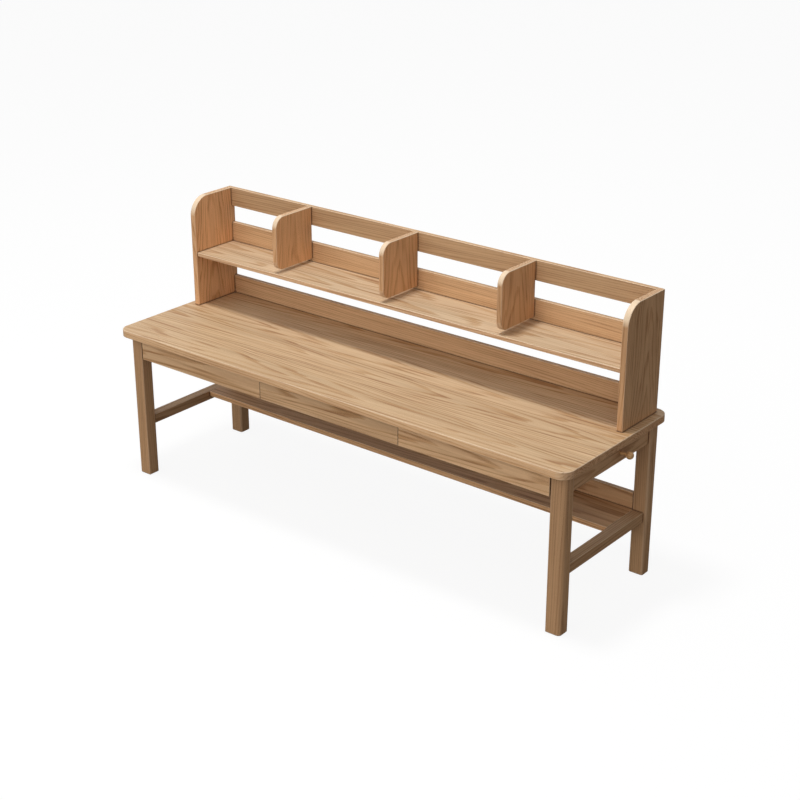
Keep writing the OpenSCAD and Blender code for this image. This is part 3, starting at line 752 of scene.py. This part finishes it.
# ---------------------------------------------------------------- hutch

def build_panel(side, tone):
    """An end panel with one large rounded corner, in front at the top."""
    node = "hutch_side_" + side
    low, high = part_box(node)
    mesh = bmesh.new()
    outline = rounded([(low.y, low.z, 0), (high.y, low.z, 0), (high.y, high.z, 0),
                       (low.y, high.z, 90 * MM)], 22)
    prism(mesh, X, low.x, high.x, outline, 3 * MM, 4)
    piece = finish_piece("panel_" + node, mesh, OAK, node_body(node), [node])
    grain(piece, Z, Y, None, 0.11, 2.2, tone, 0.75)


def build_hutch():
    """The end panels, the shelf with its tongues, and the three rails."""
    # Painted light: the left panel is coloured paler than the right, for the light on its inner face.
    build_panel("left", 1.34)
    build_panel("right", 1.0)
    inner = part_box("hutch_side_right")[0].x
    low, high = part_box("hutch_shelf")
    shoulder, cheek = 10 * MM, 4 * MM
    stubs = []
    for start, end in ((low.x, -inner + MM), (inner - MM, high.x)):
        tongue_low = (start, low.y + shoulder, low.z + cheek)
        tongue_high = (end, high.y - shoulder, high.z - cheek)
        stubs.append((tongue_low, tongue_high))
    board("hutch_shelf", X, Y, 2 * MM, corner(low, x=-inner), corner(high, x=inner), stubs, 0.135,
          OAK_SHELF, "oak_top")
    # Painted light: each rail gets its own lightness to match how it is lit.
    for rail, tone in (("top", 0.97), ("middle", 1.08), ("bottom", 1.06)):
        board("hutch_" + rail + "_rail", X, Y, 2 * MM, material=OAK_PALE, pith=0.18, tone=tone,
              figure=0.75)


def screw_head(mesh, centre, direction, radius, high):
    """Adds a flat-topped screw head with a round edge and a hexagon socket."""
    steps = 36
    direction = Vector(direction).normalized()
    across = direction.orthogonal().normalized()
    third = direction.cross(across)
    socket = radius * 0.5

    def ring(level, size, hexagon=False):
        verts = []
        for k in range(steps):
            angle = 2 * math.pi * k / steps
            reach = size
            if hexagon:
                reach = size * math.cos(math.pi / 6) / math.cos((angle % (math.pi / 3)) - math.pi / 6)
            outward = across * math.cos(angle) + third * math.sin(angle)
            verts.append(mesh.verts.new(Vector(centre) + direction * level + outward * reach))
        return verts

    rings = [ring(0, radius), ring(high * 0.6, radius)]
    rings += [ring(high * 0.9, radius * 0.93), ring(high, radius * 0.82)]
    rings += [ring(high, socket * 1.12, True), ring(high * 0.92, socket, True)]
    rings.append(ring(high * 0.25, socket * 0.97, True))
    for lower, upper in zip(rings, rings[1:]):
        for k in range(steps):
            j = (k + 1) % steps
            mesh.faces.new((lower[k], lower[j], upper[j], upper[k]))
    mesh.faces.new(rings[0][::-1])
    mesh.faces.new(rings[-1])


def build_divider(side, tone):
    """A divider, rounded in front at the top and at its foot."""
    node = "divider_" + side
    low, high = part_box(node)
    mesh = bmesh.new()
    outline = rounded([(low.y, low.z, 42 * MM), (high.y, low.z, 0), (high.y, high.z, 0),
                       (low.y, high.z, 55 * MM)], 18)
    prism(mesh, X, low.x, high.x, outline, 3.5 * MM, 4)
    piece = finish_piece("panel_" + node, mesh, OAK, node_body(node), [node])
    grain(piece, Z, Y, None, 0.11, 2.2, tone, 0.6)


def build_divider_screws():
    """Two screws through each upper rail into every divider, from behind."""
    low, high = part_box("divider_screws")
    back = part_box("hutch_top_rail")[1].y
    head, shank, spread = 5 * MM, 2.5 * MM, 22 * MM
    root = back - low.y + 0.2 * MM
    pin = [(0, 0), (4 * MM, shank), (root, shank), (root, 0)]
    mesh = bmesh.new()
    for side in ("left", "middle", "right"):
        x = sum(end.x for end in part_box("divider_" + side)) / 2
        for rail in ("top", "middle"):
            level = sum(end.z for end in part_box("hutch_" + rail + "_rail")) / 2
            for z in (level - spread, level + spread):
                screw_head(mesh, (x, back, z), (0, 1, 0), head, high.y - back)
                lathe(mesh, (x, low.y, z), (0, 1, 0), pin, 18)
    body = node_body("divider_screws")
    finish_piece("screws_dividers", mesh, ZINC, body, ["divider_screws"])


# ---------------------------------------------------------------- drawers

def build_drawer(side, tone):
    """A drawer's front and the four boards of its box."""
    stem = "drawer_" + side
    plain = {"material": BOX_WOOD, "slot": "drawer_box_wood"}
    board(stem + "_front", X, Z, 2 * MM, plank=0.2, material=OAK_PALE, tone=tone)
    for part in ("side_left", "side_right"):
        board(stem + "_" + part, Y, Z, 1.5 * MM, steps=2, **plain)
    board(stem + "_back", X, Z, 1.5 * MM, steps=2, **plain)
    board(stem + "_bottom", X, Y, 0.5 * MM, steps=1, plank=0.25, **plain)


# ---------------------------------------------------------------- CAD nodes that stay

def keep_node(node, material):
    """Gives a CAD node that stays in view its finish."""
    item = frame["nodes"][node]
    item.data.materials.clear()
    item.data.materials.append(material)


build_desktop()
build_frame()
build_pegs()
build_glides()
build_hutch()
build_divider_screws()
# Painted light: the dividers get paler towards the left, and each drawer front its own lightness, to
# match how each is lit.
for side, tone, front_tone in (("left", 1.34, 1.38), ("middle", 1.24, 1.26), ("right", 1.12, 1.46)):
    build_divider(side, tone)
    build_drawer(side, front_tone)
    keep_node("drawer_" + side + "_rails", ZINC)
for node in ("desktop_brackets", "bracket_screws", "drawer_rails_fixed", "hutch_screws"):
    keep_node(node, ZINC)
keep_node("hutch_dowels", BEECH)


# ---------------------------------------------------------------- stage, light and camera

def even(level):
    """A grey of one brightness."""
    return (level, level, level, 1.0)


def build_floor():
    """A plain pale floor that takes a faint shadow."""
    mesh = bmesh.new()
    half = 60.0
    corners = ((-half, -half), (half, -half), (half, half), (-half, half))
    mesh.faces.new([mesh.verts.new((x, y, 0)) for x, y in corners])
    data = bpy.data.meshes.new("floor")
    mesh.to_mesh(data)
    mesh.free()
    floor = bpy.data.objects.new("floor", data)
    bpy.context.scene.collection.objects.link(floor)
    material, tree, out = new_material("floor")
    rays = tree.nodes.new("ShaderNodeLightPath").outputs
    coords = tree.nodes.new("ShaderNodeTexCoord").outputs["Object"]
    cloud = noise(tree, coords, 0.6, 2.0)[0]
    grey = mix(tree, cloud, even(0.195), even(0.205))
    grey = mix(tree, rays["Is Glossy Ray"], grey, even(0.05))
    matte = tree.nodes.new("ShaderNodeBsdfDiffuse")
    feed(tree, matte.inputs["Color"], mix(tree, rays["Is Camera Ray"], grey, even(0.12)))
    glow = tree.nodes.new("ShaderNodeEmission")
    glow.inputs["Color"].default_value = WHITE
    feed(tree, glow.inputs["Strength"], times(tree, rays["Is Camera Ray"], 0.90))
    both = tree.nodes.new("ShaderNodeAddShader")
    tree.links.new(matte.outputs[0], both.inputs[0])
    tree.links.new(glow.outputs[0], both.inputs[1])
    tree.links.new(both.outputs[0], out.inputs[0])
    data.materials.append(material)


def build_key():
    """A soft round lamp high above the desk, a little to the left and in front."""
    lamp = bpy.data.lights.new("key", "AREA")
    lamp.shape = "DISK"
    lamp.size = 1.5
    lamp.energy = 352
    key = bpy.data.objects.new("key", lamp)
    desk = Vector((0, 0, 0.75))
    key.location = desk + Vector((-0.6, -0.9, 8.0))
    key.rotation_mode = "QUATERNION"
    key.rotation_quaternion = (key.location - desk).to_track_quat("Z", "Y")
    bpy.context.scene.collection.objects.link(key)


def build_room():
    """A pale room, brightest in front and dim to the right and behind, that the camera sees white."""
    world = bpy.data.worlds.new("studio")
    bpy.context.scene.world = world
    world.use_nodes = True
    tree = world.node_tree
    tree.nodes.clear()
    x, y, z = unpack(tree, tree.nodes.new("ShaderNodeTexCoord").outputs["Generated"])
    front = calc(tree, "MAXIMUM", times(tree, y, -1.0), 0.0)
    left = calc(tree, "MAXIMUM", times(tree, x, -1.0), 0.0)
    above = calc(tree, "MAXIMUM", z, 0.0)
    right = calc(tree, "MAXIMUM", x, 0.0)
    side_light = times_plus(tree, calc(tree, "POWER", front, 2.5), 1.95, times(tree, left, 0.65))
    side_light = times_plus(tree, right, 0.24, side_light)
    lift = times_plus(tree, above, 1.5, 0.35)
    lift = times(tree, lift, minus(tree, 1.0, calc(tree, "POWER", above, 4.0)))
    level = times_plus(tree, above, 0.10, 0.06)
    level = times_plus(tree, side_light, lift, level)
    rays = tree.nodes.new("ShaderNodeLightPath").outputs
    level = calc(tree, "MAXIMUM", level, times(tree, rays["Is Glossy Ray"], 0.8))
    level = calc(tree, "MAXIMUM", level, rays["Is Camera Ray"])
    back = tree.nodes.new("ShaderNodeBackground")
    back.inputs["Color"].default_value = WHITE
    feed(tree, back.inputs["Strength"], level)
    out = tree.nodes.new("ShaderNodeOutputWorld")
    tree.links.new(back.outputs[0], out.inputs[0])
    bpy.context.scene.view_settings.view_transform = "Standard"


def build_camera():
    """A long lens, from the front right and above."""
    azimuth, elevation, distance = math.radians(38.8), math.radians(23.24), 7.2
    target = (cad_low + cad_high) / 2 + Vector((0.049, 0.103, -0.07))
    level = math.cos(elevation)
    back = Vector((math.sin(azimuth) * level, -math.cos(azimuth) * level, math.sin(elevation)))
    lens = bpy.data.cameras.new("camera")
    lens.lens = 72.5
    lens.clip_end = 200
    camera = bpy.data.objects.new("camera", lens)
    camera.location = target + back * distance
    camera.rotation_mode = "QUATERNION"
    camera.rotation_quaternion = back.to_track_quat("Z", "Y")
    bpy.context.scene.collection.objects.link(camera)
    bpy.context.scene.camera = camera


build_floor()
build_key()
build_room()
build_camera()
